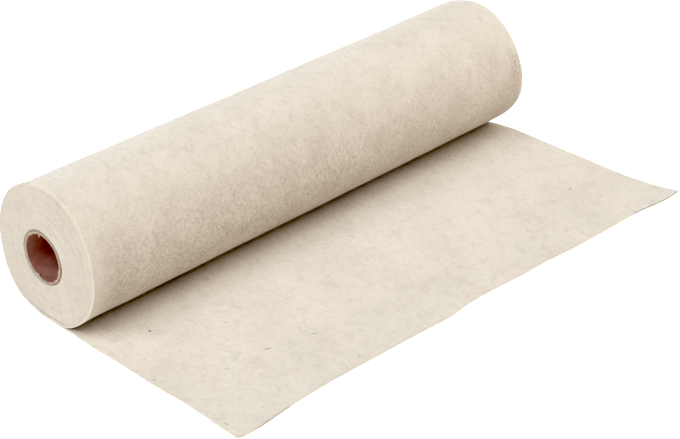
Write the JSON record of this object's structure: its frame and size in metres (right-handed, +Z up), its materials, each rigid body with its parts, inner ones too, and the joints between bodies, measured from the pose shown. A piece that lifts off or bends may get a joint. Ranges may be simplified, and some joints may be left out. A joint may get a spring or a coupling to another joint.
{
  "type": "roll of felt",
  "caption": "Roll of plain off-white felt on a paper tube, lying on its side with its loose end rolled out flat, to be cut from or taken up again.",
  "frame": {"origin": "on the surface that the roll and its loose end lie on, under the middle of the whole footprint", "axes": "+Z up; +Y along the roll, from its open near end face to its far end; +X from the roll towards the cut edge of the loose end"},
  "size_m": [0.2618, 0.45, 0.1067],
  "materials": {
    "felt": "matt needled felt, off-white with a faint brown-grey fleck, softly fuzzy, with a fine fibrous grain",
    "tube_paper": "matt spirally wound paper, red-brown inside, with a pale cut rim that is a little torn"
  },
  "bodies": {
    "root": {"felt_roll": "felt", "felt_loose_end": "felt", "core_tube": "tube_paper"}
  },
  "joints": []
}
